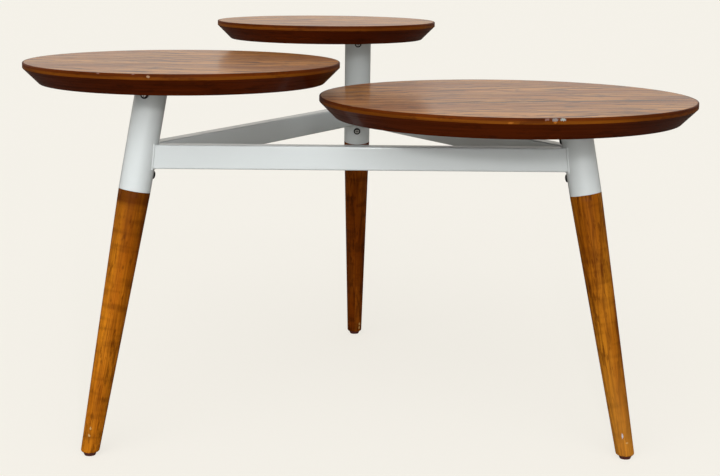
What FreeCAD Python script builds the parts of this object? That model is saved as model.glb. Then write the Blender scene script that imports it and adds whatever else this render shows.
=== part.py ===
import FreeCAD, Part
import math
import os
import Sketcher

# A side table with three round tops at three heights. Three splayed legs stand
# at the corners of an equal-sided triangle of steel rails, and each leg carries
# one top, set off to one side of it. Millimetres, +Z up, the floor at Z = 0 and
# the origin under the middle of the table's outline. The low top is on the
# right, the mid top on the left and the high top at the back (+Y).

SIZES = [
    # the steel frame
    ("side_length", 524, "between two tube axes, at the rails' mid height"),
    ("rail_level", 361, "floor to the rails' mid height"),
    ("splay_angle", 11.6, "tubes and legs from the vertical, degrees"),
    ("tube_diameter", 38, "leg tube, outside"),
    ("tube_wall", 1.6, "leg tube"),
    ("tube_below_rail", 26.75, "rail's underside down to the tube's lower end"),
    ("rail_height", 28.5, "rectangular rail tube"),
    ("rail_thickness", 19.5, "rectangular rail tube"),
    ("rail_wall", 1.5, "rectangular rail tube"),
    ("rail_corner", 2, "outer corner radius of the rail tube"),
    ("weld_size", 1.2, "radius of the bead where a rail meets a tube"),
    # the tops
    ("top_thickness", 25, "every top"),
    ("bevel_size", 18.5, "45 degree bevel round the underside"),
    ("edge_rounding", 1.2, "upper edge of a top"),
    ("low_diameter", 450, "low top"),
    ("mid_diameter", 380, "mid top"),
    ("high_diameter", 310, "high top"),
    ("low_rise", 32.75, "rail's upper side to the low top's underside"),
    ("mid_step", 12, "low top's face to the mid top's underside"),
    ("high_step", 9, "mid top's face to the high top's underside"),
    ("low_inward", 79, "tube axis to the low top's middle, towards the triangle's middle"),
    ("low_sideways", 21, "and square to that"),
    ("mid_inward", 49, "the same for the mid top"),
    ("mid_sideways", 22, ""),
    ("high_inward", 53, "the same for the high top"),
    ("high_sideways", -46, ""),
    # what holds a top on its tube
    ("plate_thickness", 3, "mounting plate under a top"),
    ("plate_flange", 11, "how far the plate stands out past the tube"),
    ("spigot_wall", 3, "spigot under the plate, inside the tube"),
    ("spigot_length", 32, "along the tube"),
    ("fit_clearance", 0.2, "radial, a plug in a tube or a screw in its hole"),
    ("wood_screw_diameter", 4, "countersunk screw of the plate"),
    ("wood_screw_head", 8, "its head's diameter"),
    ("wood_screw_length", 16, "its whole length"),
    # the machine screws through the tube wall
    ("screw_diameter", 5, "shank"),
    ("screw_head_diameter", 10, "pan head"),
    ("screw_head_height", 2.4, "low pan head"),
    ("screw_head_rounding", 1.2, "pan head's upper edge"),
    ("recess_width", 1.1, "arm of the cross recess"),
    ("recess_length", 5, "across the cross recess"),
    ("recess_depth", 1.3, "cross recess"),
    ("screw_point", 0.6, "chamfer at a screw's tip"),
    ("lock_screw_reach", 3, "how far the upper screw's tip passes the spigot's wall"),
    ("low_screw_gap", 0.3, "low top's screw head above the weld bead"),
    ("mid_screw_drop", 10.2, "mid top's underside down to its screw, at the tube's wall"),
    ("high_screw_drop", 10.2, "the same for the high top"),
    ("low_screw_turn", 0, "round the tube from the inward side, degrees"),
    ("mid_screw_turn", -135, ""),
    ("high_screw_turn", 0, ""),
    ("leg_screw_rise", 21.5, "tube's lower end up to the leg's screw"),
    ("insert_diameter", 8, "threaded insert in the leg's tenon"),
    ("insert_length", 12, "threaded insert"),
    ("insert_sink", 0.6, "its end below the tenon's surface"),
    # the wooden legs and their glides
    ("tenon_length", 40, "leg's tenon inside the tube"),
    ("foot_diameter", 22, "leg at its lower end"),
    ("foot_rounding", 2.5, "leg's lower edge"),
    ("glide_height", 4.5, "glide between the leg and the floor"),
    ("glide_diameter", 17, "glide, at the leg"),
    ("glide_taper", 2, "how much the glide's radius shrinks to the floor"),
    ("nail_diameter", 2, "nail that holds the glide"),
    ("nail_head_diameter", 6, ""),
    ("nail_head_height", 1, ""),
    ("nail_sink", 1.2, "nail head above the floor"),
    ("nail_length", 18, "below the head"),
]

# Sizes that follow from the ones above.
DERIVED = [
    ("frame_radius", "=side_length / sqrt(3)"),
    ("tube_radius", "=tube_diameter / 2"),
    ("bore_radius", "=tube_radius - tube_wall"),
    ("plug_radius", "=bore_radius - fit_clearance"),
    ("half_rail", "=rail_height / 2"),
    ("low_level", "=rail_level + half_rail + low_rise"),
    ("mid_level", "=low_level + top_thickness + mid_step"),
    ("high_level", "=mid_level + top_thickness + high_step"),
    ("head_lean", "=screw_head_diameter / 2 * cos(splay_angle) + screw_head_height * sin(splay_angle)"),
    ("low_screw_drop", "=low_rise - weld_size - low_screw_gap - head_lean"),
    ("tube_end", "=-(half_rail + tube_below_rail) / cos(splay_angle)"),
    ("foot_end", "=-(rail_level - glide_height) / cos(splay_angle)"),
    ("leg_screw_place", "=tube_end + leg_screw_rise"),
    ("plate_diameter", "=tube_diameter + 2 * plate_flange"),
    ("screw_circle", "=tube_radius + plate_flange / 2"),
    ("hole_diameter", "=screw_diameter + 2 * fit_clearance"),
    ("wood_hole_diameter", "=wood_screw_diameter + 2 * fit_clearance"),
    ("lock_screw_length", "=tube_wall + fit_clearance + spigot_wall + lock_screw_reach"),
    ("leg_screw_length", "=tube_wall + fit_clearance + insert_sink + insert_length"),
    ("nail_head_level", "=nail_sink + nail_head_height"),
    ("cutter_width", "=tube_diameter * 2"),
    ("cutter_length", "=rail_height * 3"),
]

# For each tube: where the plate's underside crosses its axis, and the height of
# its upper screw, both measured along the tube from rail level.
ALONG_TUBE = [
    ("{0}_plate_end", "=({0}_level - plate_thickness - rail_level) / cos(splay_angle)"),
    ("{0}_screw_lift", "=tube_radius * sin(splay_angle) * cos({0}_screw_turn)"),
    ("{0}_screw_place", "=({0}_level - {0}_screw_drop - rail_level + {0}_screw_lift) / cos(splay_angle)"),
]

# Direction from each tube to the triangle's middle, degrees from +X.
INWARD = {"low": 150, "mid": 30, "high": -90}

# Direction from each rail to the triangle's middle.
RAILS = {"rail_front": 90, "rail_left": -30, "rail_right": -150}

SCREWS_PER_PLATE = 4
FIRST_SCREW_TURN = 45
HALF_CORNER = 30            # half the angle between two rails
EDGE_POINTS = 6             # points tested along an edge

doc = FreeCAD.newDocument("tiered_side_table")
sheet = doc.addObject("Spreadsheet::Sheet", "Sizes")
subparts = []


def fill_sheet():
    """Write the driving sizes and the derived ones, each with its alias."""
    rows = [(name, str(number), note) for name, number, note in SIZES]
    rows += [(name, formula, "") for name, formula in DERIVED]
    for station in INWARD:
        rows += [(name.format(station), formula.format(station), "") for name, formula in ALONG_TUBE]
    rows += [("middle_x", "0", "middle of the outline"), ("middle_y", "0", "")]
    for row, (name, content, note) in enumerate(rows, 1):
        sheet.set("A%d" % row, name)
        sheet.set("B%d" % row, content)
        sheet.set("C%d" % row, note)
        sheet.setAlias("B%d" % row, name)
    doc.recompute()


def value(expression):
    """The number that an expression over the sheet gives now."""
    result = sheet.evalExpression(expression)
    return float(getattr(result, "Value", result))


# ---- places ---------------------------------------------------------------

def place(x="0", y="0", z="0", yaw="0", pitch="0"):
    """Expression of a placement."""
    return "placement(vector(%s; %s; %s); rotation(%s; %s; 0))" % (x, y, z, yaw, pitch)


def upright_frame(station):
    """On the tube's axis at rail level, x pointing inward and z up."""
    turn = INWARD[station]
    return place("-Sizes.frame_radius * cos(%d) - Sizes.middle_x" % turn,
                 "-Sizes.frame_radius * sin(%d) - Sizes.middle_y" % turn,
                 "Sizes.rail_level", str(turn))


def tube_frame(station):
    """The same place with z along the tube, which leans inward as it rises."""
    return upright_frame(station) + " * " + place(pitch="Sizes.splay_angle")


def level_frame(station, level):
    """Upright, where the tube's axis crosses the given height."""
    rise = "(%s - Sizes.rail_level)" % level
    return upright_frame(station) + " * " + place(x="tan(Sizes.splay_angle) * " + rise, z=rise)


def plate_end(station):
    return "Sizes.%s_plate_end" % station


def lock_screw_place(station):
    return "Sizes.%s_screw_place" % station


# ---- sketches and features ------------------------------------------------

def new_body(label, placement):
    body = doc.addObject("PartDesign::Body", label)
    body.Label = label
    body.setExpression("Placement", placement)
    subparts.append(body)
    return body


def origin_plane(body, role):
    return next(item for item in body.Origin.OriginFeatures if item.Role == role)


def new_sketch(body, role="XY_Plane", offset=None):
    sketch = body.newObject("Sketcher::SketchObject", body.Name + "_sketch")
    sketch.AttachmentSupport = (origin_plane(body, role), [""])
    sketch.MapMode = "FlatFace"
    if offset:
        sketch.setExpression("AttachmentOffset", offset)
    return sketch


def pin_point(sketch, geometry, point, x, y):
    """Hold one point of a sketch at x, y, both expressions."""
    for kind, expression in (("DistanceX", x), ("DistanceY", y)):
        constraint = Sketcher.Constraint(kind, -1, 1, geometry, point, value(expression))
        index = sketch.addConstraint(constraint)
        sketch.setExpression("Constraints[%d]" % index, expression)


def draw_outline(sketch, corners):
    """Closed outline of straight edges through corners given as expressions."""
    points = [FreeCAD.Vector(value(x), value(y), 0) for x, y in corners]
    count = len(corners)
    first = sketch.GeometryCount
    for step in range(count):
        sketch.addGeometry(Part.LineSegment(points[step], points[(step + 1) % count]), False)
    for step in range(count):
        following = first + (step + 1) % count
        sketch.addConstraint(Sketcher.Constraint("Coincident", first + step, 2, following, 1))
    for step, (x, y) in enumerate(corners):
        pin_point(sketch, first + step, 1, x, y)


def draw_circle(sketch, diameter, x="0", y="0"):
    centre = FreeCAD.Vector(value(x), value(y), 0)
    circle = Part.Circle(centre, FreeCAD.Vector(0, 0, 1), value(diameter) / 2)
    index = sketch.addGeometry(circle, False)
    pin_point(sketch, index, 3, x, y)
    size = sketch.addConstraint(Sketcher.Constraint("Diameter", index, value(diameter)))
    sketch.setExpression("Constraints[%d]" % size, diameter)


def draw_axis(sketch, x, y_low, y_high):
    """Construction line to turn a profile about, used as Axis0."""
    low = FreeCAD.Vector(value(x), value(y_low), 0)
    high = FreeCAD.Vector(value(x), value(y_high), 0)
    index = sketch.addGeometry(Part.LineSegment(low, high), True)
    pin_point(sketch, index, 1, x, y_low)
    pin_point(sketch, index, 2, x, y_high)


def add_pad(body, sketch, length, both_ways=False):
    pad = body.newObject("PartDesign::Pad", body.Name + "_pad")
    pad.Profile = sketch
    pad.SideType = "Symmetric" if both_ways else "One side"
    pad.setExpression("Length", length)
    doc.recompute()
    return pad


def add_turning(body, sketch, axis="V_Axis", cut=False):
    """Turn a sketch right round, to add or to cut."""
    kind = "Groove" if cut else "Revolution"
    feature = body.newObject("PartDesign::" + kind, body.Name + "_" + kind.lower())
    feature.Profile = sketch
    feature.ReferenceAxis = (sketch, [axis])
    feature.Angle = 360
    doc.recompute()
    return feature


def add_pocket(body, sketch, length=None, forward=True, both_ways=False):
    """Cut along the sketch's normal (forward), against it, or both ways."""
    before = body.Shape.Volume
    pocket = body.newObject("PartDesign::Pocket", body.Name + "_pocket")
    pocket.Profile = sketch
    pocket.SideType = "Symmetric" if both_ways else "One side"
    pocket.Reversed = forward and not both_ways
    if length:
        pocket.setExpression("Length", length)
    else:
        pocket.Type = "ThroughAll"
    doc.recompute()
    if not body.Shape.Volume < before:
        raise RuntimeError("%s: a pocket cut nothing" % body.Label)
    return pocket


def same(first, second, within=1e-6):
    return math.isclose(first, second, abs_tol=within)


def edges_where(feature, test):
    """Names of the feature's edges whose points all pass the test."""
    names = []
    for number, edge in enumerate(feature.Shape.Edges, 1):
        if all(test(point) for point in edge.discretize(EDGE_POINTS)):
            names.append("Edge%d" % number)
    return names


def on_rim(level):
    """Test for the round edge of a turned body at a height given as an expression."""
    height = value(level)
    return lambda point: same(point.z, height) and math.hypot(point.x, point.y) > 1


def add_fillet(body, feature, test, radius):
    fillet = body.newObject("PartDesign::Fillet", body.Name + "_fillet")
    fillet.Base = (feature, edges_where(feature, test))
    fillet.setExpression("Radius", radius)
    doc.recompute()
    return fillet


def add_pattern(body, features):
    """Repeat features round the body's z axis, one for each screw of a plate."""
    pattern = body.newObject("PartDesign::PolarPattern", body.Name + "_pattern")
    pattern.Originals = features
    pattern.Axis = (origin_plane(body, "Z_Axis"), [""])
    pattern.Angle = 360
    pattern.Occurrences = SCREWS_PER_PLATE
    body.Tip = pattern
    doc.recompute()
    return pattern


def new_level_sketch(body, crossing):
    """Level sketch in a leaning body, where its axis passes the crossing."""
    return new_sketch(body, offset=place(z=crossing, pitch="-Sizes.splay_angle"))


def add_level_cut(body, crossing, forward):
    """Cut a leaning body off level, where its axis passes the crossing."""
    sketch = new_level_sketch(body, crossing)
    draw_circle(sketch, "Sizes.cutter_width")
    return add_pocket(body, sketch, forward=forward)


def add_side_hole(body, turn, height, diameter, start="0"):
    """Hole from the body's axis out through one side of its wall."""
    sideways = "placement(vector(0; {0}; 0); rotation(vector(0; 1; 0); {1})) * ".format(height, turn)
    sketch = new_sketch(body, "YZ_Plane", sideways + place(z=start))
    draw_circle(sketch, diameter)
    return add_pocket(body, sketch)


def cut_cross_recess(body, level, x="0", forward=False):
    """Cross recess of a screw head, sunk from the given level."""
    sketch = new_sketch(body, offset=place(x=x, z=level))
    arm = "Sizes.recess_width / 2"
    end = "Sizes.recess_length / 2"
    quarter = [(end, arm), (arm, arm), (arm, end)]
    corners = []
    for turn in range(4):
        sign_x = "-" if turn in (1, 2) else ""
        sign_y = "-" if turn in (2, 3) else ""
        in_order = quarter if turn % 2 == 0 else quarter[::-1]
        corners += [(sign_x + across, sign_y + up) for across, up in in_order]
    draw_outline(sketch, corners)
    return add_pocket(body, sketch, "Sizes.recess_depth", forward=forward)


# ---- the tops and what holds them -----------------------------------------

def make_top(station):
    """Round wooden top with a wide bevel underneath and pilot holes for its plate."""
    offset = place(x="Sizes.%s_inward" % station, y="Sizes.%s_sideways" % station)
    level = "Sizes.%s_level" % station
    body = new_body("top_" + station, level_frame(station, level) + " * " + offset)
    radius = "Sizes.%s_diameter / 2" % station
    profile = new_sketch(body, "XZ_Plane")
    draw_outline(profile, [
        ("0", "0"),
        (radius + " - Sizes.bevel_size", "0"),
        (radius, "Sizes.bevel_size"),
        (radius, "Sizes.top_thickness"),
        ("0", "Sizes.top_thickness"),
    ])
    disc = add_turning(body, profile)
    add_fillet(body, disc, on_rim("Sizes.top_thickness"), "Sizes.edge_rounding")
    holes = new_sketch(body)
    for number in range(SCREWS_PER_PLATE):
        turn = FIRST_SCREW_TURN + 360 * number // SCREWS_PER_PLATE
        draw_circle(holes, "Sizes.wood_hole_diameter",
                    "Sizes.screw_circle * cos(%d) - Sizes.%s_inward" % (turn, station),
                    "Sizes.screw_circle * sin(%d) - Sizes.%s_sideways" % (turn, station))
    add_pocket(body, holes, "Sizes.wood_screw_length - Sizes.plate_thickness + Sizes.screw_point")


def plate_frame(station):
    """Under the top on the tube's axis, x pointing at the plate's first screw."""
    level = level_frame(station, "Sizes.%s_level" % station)
    return level + " * " + place(yaw=str(FIRST_SCREW_TURN))


def screw_seat(clearance):
    """Half outline of a countersunk screw head, grown by a clearance."""
    axis = "Sizes.screw_circle"
    head = "%s + Sizes.wood_screw_head / 2 + %s" % (axis, clearance)
    shank = "%s + Sizes.wood_screw_diameter / 2 + %s" % (axis, clearance)
    cone_end = "-Sizes.plate_thickness + (Sizes.wood_screw_head - Sizes.wood_screw_diameter) / 2"
    return axis, head, shank, cone_end


def make_plate(station):
    """Round steel plate with four countersunk holes, flat under the top."""
    body = new_body("plate_" + station, plate_frame(station))
    outline = new_sketch(body, offset=place(z="-Sizes.plate_thickness"))
    draw_circle(outline, "Sizes.plate_diameter")
    add_pad(body, outline, "Sizes.plate_thickness")
    axis, head, shank, cone_end = screw_seat("Sizes.fit_clearance")
    seat = new_sketch(body, "XZ_Plane")
    draw_axis(seat, axis, "-Sizes.plate_thickness", "0")
    draw_outline(seat, [
        (axis, "-Sizes.plate_thickness"),
        (head, "-Sizes.plate_thickness"),
        (shank, cone_end),
        (shank, "0"),
        (axis, "0"),
    ])
    before = body.Shape.Volume
    groove = add_turning(body, seat, "Axis0", cut=True)
    add_pattern(body, [groove])
    if not body.Shape.Volume < before:
        raise RuntimeError("%s has no screw holes" % body.Label)


def make_plate_screws(station):
    """The four countersunk wood screws of a plate, one group."""
    body = new_body("plate_screws_" + station, plate_frame(station))
    axis, head, shank, cone_end = screw_seat("0")
    tip = "Sizes.wood_screw_length - Sizes.plate_thickness"
    profile = new_sketch(body, "XZ_Plane")
    draw_axis(profile, axis, "-Sizes.plate_thickness", tip)
    draw_outline(profile, [
        (axis, "-Sizes.plate_thickness"),
        (head, "-Sizes.plate_thickness"),
        (shank, cone_end),
        (shank, tip + " - Sizes.wood_screw_diameter"),
        (axis, tip),
    ])
    screw = add_turning(body, profile, "Axis0")
    recess = cut_cross_recess(body, "-Sizes.plate_thickness", axis, forward=True)
    add_pattern(body, [screw, recess])


def make_spigot(station):
    """Short tube welded under the plate, which plugs into the leg tube."""
    body = new_body("spigot_" + station, tube_frame(station))
    end = "%s - Sizes.spigot_length" % plate_end(station)
    ring = new_sketch(body, offset=place(z=end))
    draw_circle(ring, "Sizes.plug_radius * 2")
    draw_circle(ring, "Sizes.plug_radius * 2 - Sizes.spigot_wall * 2")
    add_pad(body, ring, "Sizes.spigot_length + Sizes.tube_diameter")
    add_level_cut(body, plate_end(station), forward=True)
    turn = "Sizes.%s_screw_turn" % station
    add_side_hole(body, turn, lock_screw_place(station), "Sizes.hole_diameter")


# ---- the steel frame ------------------------------------------------------

def make_tube(station):
    """Leaning leg tube: square at its lower end, level under the plate."""
    body = new_body("tube_" + station, tube_frame(station))
    ring = new_sketch(body, offset=place(z="Sizes.tube_end"))
    draw_circle(ring, "Sizes.tube_diameter")
    draw_circle(ring, "Sizes.bore_radius * 2")
    add_pad(body, ring, "%s - Sizes.tube_end + Sizes.tube_diameter" % plate_end(station))
    add_level_cut(body, plate_end(station), forward=True)
    turn = "Sizes.%s_screw_turn" % station
    add_side_hole(body, turn, lock_screw_place(station), "Sizes.hole_diameter")
    add_side_hole(body, "0", "Sizes.leg_screw_place", "Sizes.hole_diameter")


def draw_rectangle(sketch, width, height):
    half = "(%s) / 2" % width
    rise = "(%s) / 2" % height
    draw_outline(sketch, [("-" + half, "-" + rise), (half, "-" + rise), (half, rise), ("-" + half, rise)])


def make_rail(label):
    """Rectangular tube between two leg tubes, its ends coped to their walls."""
    turn = RAILS[label]
    away = "Sizes.frame_radius / 2"
    body = new_body(label, place("-%s * cos(%d) - Sizes.middle_x" % (away, turn),
                                 "-%s * sin(%d) - Sizes.middle_y" % (away, turn),
                                 "Sizes.rail_level", str(turn - 90)))
    outline = new_sketch(body, "YZ_Plane")
    draw_rectangle(outline, "Sizes.rail_thickness", "Sizes.rail_height")
    bar = add_pad(body, outline, "Sizes.side_length", both_ways=True)
    side = value("Sizes.rail_thickness / 2")
    rise = value("Sizes.half_rail")
    add_fillet(body, bar, lambda point: same(abs(point.y), side) and same(abs(point.z), rise),
               "Sizes.rail_corner")
    hollow = new_sketch(body, "YZ_Plane")
    draw_rectangle(hollow, "Sizes.rail_thickness - 2 * Sizes.rail_wall",
                   "Sizes.rail_height - 2 * Sizes.rail_wall")
    add_pocket(body, hollow, both_ways=True)
    mitre = new_sketch(body)
    inner = "Sizes.rail_thickness"
    for sign in ("-", ""):
        end = sign + "Sizes.side_length / 2"
        slope = "%s - %s1 * %s / tan(%d)" % (end, sign, inner, HALF_CORNER)
        draw_outline(mitre, [(end, "0"), (slope, inner), (end, inner)])
    add_pocket(body, mitre, both_ways=True)
    for sign, inward in (("-", HALF_CORNER), ("", 180 - HALF_CORNER)):
        tube_axis = place(x=sign + "Sizes.side_length / 2", yaw=str(inward), pitch="Sizes.splay_angle")
        cope = new_sketch(body, offset=tube_axis)
        draw_circle(cope, "Sizes.tube_diameter")
        add_pocket(body, cope, "Sizes.cutter_length", both_ways=True)


def rail_stubs(spare):
    """Solid ends of the two rails at a tube, in its upright frame, grown by a spare."""
    half = value("Sizes.rail_thickness / 2") + spare
    rise = value("Sizes.half_rail") + spare
    reach = value("Sizes.cutter_width")
    stubs = []
    for turn in (-HALF_CORNER, HALF_CORNER):
        stub = Part.makeBox(reach, half * 2, rise * 2, FreeCAD.Vector(0, -half, -rise))
        stub.rotate(FreeCAD.Vector(), FreeCAD.Vector(0, 0, 1), turn)
        stubs.append(stub)
    return stubs[0].fuse(stubs[1])


def leaning_cylinder(radius):
    """Solid round the tube's axis, in its upright frame, taller than the rails."""
    length = value("Sizes.cutter_length")
    cylinder = Part.makeCylinder(radius, length, FreeCAD.Vector(0, 0, -length / 2))
    cylinder.rotate(FreeCAD.Vector(), FreeCAD.Vector(0, 1, 0), value("Sizes.splay_angle"))
    return cylinder


def make_weld(station):
    """Weld bead round the ends of the two rails that meet at one tube."""
    bead = value("Sizes.weld_size")
    radius = value("Sizes.tube_radius")
    collar = leaning_cylinder(radius + bead).common(rail_stubs(bead))
    weld = doc.addObject("Part::Feature", "weld_" + station)
    weld.Label = "weld_" + station
    weld.Shape = collar.cut([leaning_cylinder(radius), rail_stubs(0)])
    weld.setExpression("Placement", upright_frame(station))
    subparts.append(weld)


# ---- screws, legs and glides ----------------------------------------------

def make_machine_screw(label, placement, length):
    """Pan head screw: head above its z = 0, shank below it."""
    body = new_body(label, placement)
    shank = "Sizes.screw_diameter / 2"
    head = "Sizes.screw_head_diameter / 2"
    profile = new_sketch(body, "XZ_Plane")
    draw_outline(profile, [
        ("0", "-" + length),
        (shank + " - Sizes.screw_point", "-" + length),
        (shank, "Sizes.screw_point - " + length),
        (shank, "0"),
        (head, "0"),
        (head, "Sizes.screw_head_height"),
        ("0", "Sizes.screw_head_height"),
    ])
    turned = add_turning(body, profile)
    add_fillet(body, turned, on_rim("Sizes.screw_head_height"), "Sizes.screw_head_rounding")
    cut_cross_recess(body, "Sizes.screw_head_height")


def on_tube_wall(station, turn, height):
    """Place on the tube's outer wall with z pointing straight out of it."""
    round_tube = place(z=height, yaw=turn)
    out_of_wall = place(x="Sizes.tube_radius", pitch="90")
    return " * ".join([tube_frame(station), round_tube, out_of_wall])


def make_lock_screw(station):
    """Screw just under a top, through the tube into the spigot."""
    placement = on_tube_wall(station, "Sizes.%s_screw_turn" % station, lock_screw_place(station))
    make_machine_screw("lock_screw_" + station, placement, "Sizes.lock_screw_length")


def make_leg_screw(station):
    """Screw low on the tube, on its inward side, into the leg's insert."""
    placement = on_tube_wall(station, "0", "Sizes.leg_screw_place")
    make_machine_screw("leg_screw_" + station, placement, "Sizes.leg_screw_length")


def make_leg_insert(station):
    """Threaded sleeve sunk across the leg's tenon."""
    start = "Sizes.plug_radius - Sizes.insert_sink - Sizes.insert_length"
    across = place(x=start, z="Sizes.leg_screw_place", pitch="90")
    body = new_body("leg_insert_" + station, tube_frame(station) + " * " + across)
    ring = new_sketch(body)
    draw_circle(ring, "Sizes.insert_diameter")
    draw_circle(ring, "Sizes.hole_diameter")
    add_pad(body, ring, "Sizes.insert_length")


def make_leg(station):
    """Turned wooden leg: tenon in the tube, shoulder at its end, tapered to the foot."""
    body = new_body("leg_" + station, tube_frame(station))
    foot = "Sizes.foot_diameter / 2"
    blank_end = "Sizes.foot_end - " + foot
    taper = "((Sizes.tube_diameter - Sizes.foot_diameter) / 2 / (Sizes.tube_end - Sizes.foot_end))"
    profile = new_sketch(body, "XZ_Plane")
    draw_outline(profile, [
        ("0", blank_end),
        ("%s - %s * %s" % (foot, foot, taper), blank_end),
        ("Sizes.tube_radius", "Sizes.tube_end"),
        ("Sizes.plug_radius", "Sizes.tube_end"),
        ("Sizes.plug_radius", "Sizes.tube_end + Sizes.tenon_length"),
        ("0", "Sizes.tube_end + Sizes.tenon_length"),
    ])
    add_turning(body, profile)
    blunt = add_level_cut(body, "Sizes.foot_end", forward=False)
    slope = math.tan(math.radians(value("Sizes.splay_angle")))
    end = value("Sizes.foot_end")
    add_fillet(body, blunt, lambda point: same(point.z, end + point.x * slope, within=1e-3),
               "Sizes.foot_rounding")
    insert_start = "Sizes.plug_radius - Sizes.insert_sink - Sizes.insert_length"
    add_side_hole(body, "0", "Sizes.leg_screw_place",
                  "Sizes.insert_diameter + 2 * Sizes.fit_clearance", insert_start)
    nail_hole = new_level_sketch(body, "Sizes.foot_end")
    draw_circle(nail_hole, "Sizes.nail_diameter + 2 * Sizes.fit_clearance")
    add_pocket(body, nail_hole, "Sizes.nail_length")


def foot_frame(station):
    """Upright on the floor, under the middle of the leg's lower end."""
    return level_frame(station, "Sizes.glide_height") + " * " + place(z="-Sizes.glide_height")


def make_glide(station):
    """Slightly conical plastic glide, its nail's head in a recess."""
    body = new_body("glide_" + station, foot_frame(station))
    upper = "Sizes.glide_diameter / 2"
    recess = "Sizes.nail_head_diameter / 2 + Sizes.fit_clearance"
    bore = "Sizes.nail_diameter / 2 + Sizes.fit_clearance"
    profile = new_sketch(body, "XZ_Plane")
    draw_outline(profile, [
        (recess, "0"),
        (upper + " - Sizes.glide_taper", "0"),
        (upper, "Sizes.glide_height"),
        (bore, "Sizes.glide_height"),
        (bore, "Sizes.nail_head_level"),
        (recess, "Sizes.nail_head_level"),
    ])
    add_turning(body, profile)


def make_glide_nail(station):
    """Flat headed nail through the glide into the leg."""
    body = new_body("glide_nail_" + station, foot_frame(station))
    head = "Sizes.nail_head_diameter / 2"
    shank = "Sizes.nail_diameter / 2"
    tip = "Sizes.nail_head_level + Sizes.nail_length"
    profile = new_sketch(body, "XZ_Plane")
    draw_outline(profile, [
        ("0", "Sizes.nail_sink"),
        (head, "Sizes.nail_sink"),
        (head, "Sizes.nail_head_level"),
        (shank, "Sizes.nail_head_level"),
        (shank, tip + " - Sizes.nail_diameter"),
        ("0", tip),
    ])
    add_turning(body, profile)


# ---- the whole table ------------------------------------------------------

def centre_outline():
    """Set the origin under the middle of the table's outline."""
    box = FreeCAD.BoundBox()
    for part in subparts:
        box.add(part.Shape.optimalBoundingBox(False))
    sheet.set(sheet.getCellFromAlias("middle_x"), repr(value("Sizes.middle_x") + box.Center.x))
    sheet.set(sheet.getCellFromAlias("middle_y"), repr(value("Sizes.middle_y") + box.Center.y))
    doc.recompute()


def check_document():
    """Stop before anything is written if a feature or a shape has failed."""
    for item in doc.Objects:
        if {"Invalid", "Error"} & set(item.State):
            raise RuntimeError("%s failed: %s" % (item.Label, item.State))
    for part in subparts:
        if part.Shape.isNull() or not part.Shape.isValid():
            raise RuntimeError("%s has no valid shape" % part.Label)


def write_parts():
    os.makedirs("parts", exist_ok=True)
    for part in subparts:
        part.Shape.exportStep("parts/%s.step" % part.Label)
        print("%-18s %d solids %10.0f mm3" % (part.Label, len(part.Shape.Solids), part.Shape.Volume))


fill_sheet()
for station_name in INWARD:
    make_top(station_name)
    make_plate(station_name)
    make_plate_screws(station_name)
    make_spigot(station_name)
    make_lock_screw(station_name)
    make_tube(station_name)
    make_weld(station_name)
    make_leg(station_name)
    make_leg_insert(station_name)
    make_leg_screw(station_name)
    make_glide(station_name)
    make_glide_nail(station_name)
for rail_name in RAILS:
    make_rail(rail_name)
doc.recompute()
centre_outline()
check_document()
write_parts()
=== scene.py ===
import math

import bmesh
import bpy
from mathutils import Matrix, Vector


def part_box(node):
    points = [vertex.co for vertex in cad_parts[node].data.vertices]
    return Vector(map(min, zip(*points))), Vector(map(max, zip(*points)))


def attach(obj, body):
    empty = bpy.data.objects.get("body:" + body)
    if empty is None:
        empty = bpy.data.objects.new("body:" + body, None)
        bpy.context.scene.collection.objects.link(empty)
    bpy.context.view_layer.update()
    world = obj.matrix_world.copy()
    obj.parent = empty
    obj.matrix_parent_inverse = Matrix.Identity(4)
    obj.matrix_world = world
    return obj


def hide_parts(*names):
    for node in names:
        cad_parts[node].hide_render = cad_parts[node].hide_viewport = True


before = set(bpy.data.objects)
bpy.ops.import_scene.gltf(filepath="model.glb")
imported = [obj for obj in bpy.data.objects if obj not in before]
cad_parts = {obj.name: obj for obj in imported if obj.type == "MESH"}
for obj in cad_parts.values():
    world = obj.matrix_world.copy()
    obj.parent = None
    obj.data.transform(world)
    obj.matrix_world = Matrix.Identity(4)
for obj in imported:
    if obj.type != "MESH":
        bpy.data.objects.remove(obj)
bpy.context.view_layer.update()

# %% [markdown]
# # A side table with three tops
# This file dresses a small table: three round wooden tops at three heights, a
# welded steel triangle, and three turned legs. The solids come ready made, at
# their real size and in metres, so each cell only has to ask the frame where a
# piece is, build a finer skin for it where the solid is too plain, and give it
# a finish.

STATIONS = ("low", "mid", "high")             # the right, left and rear leg, each with its own top

# %% [markdown]
# ## Where each leg stands
# All pieces of one leg share one leaning axis. We don't type its place: the
# glide tells where the axis meets the floor end, and the mounting plate tells
# where it reaches the underside of the top. From these two points we make one
# matrix per leg. Its z runs up the leg and its x points to the middle of the
# table, so turned pieces can be modelled upright and then stood on the axis.

# %% Leg axes from the frame
def middle(node):
    low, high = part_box(node)
    return (low + high) / 2


def leg_axis(station):
    """Matrix that starts on the glide, with z up the leg and x inward."""
    foot = middle("glide_" + station)
    foot.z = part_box("glide_" + station)[1].z
    crown = middle("plate_" + station)
    crown.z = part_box("plate_" + station)[1].z
    up = (crown - foot).normalized()
    side = Vector((0, 0, 1)).cross(up).normalized()
    inward = side.cross(up)
    matrix = Matrix((inward, side, up)).transposed().to_4x4()
    matrix.translation = foot
    return matrix


AXES = {station: leg_axis(station) for station in STATIONS}
LEAN = math.acos(AXES["low"].col[2].z)
print("lean of the legs, degrees", round(math.degrees(LEAN), 2))

# %% [markdown]
# ## Camera
# A long lens keeps the three round tops calm ellipses. The camera stands in
# front and a little above the tops, so that their faces just show. Hardly any
# camera stands quite straight, so it has a small turn and a small roll.

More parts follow.
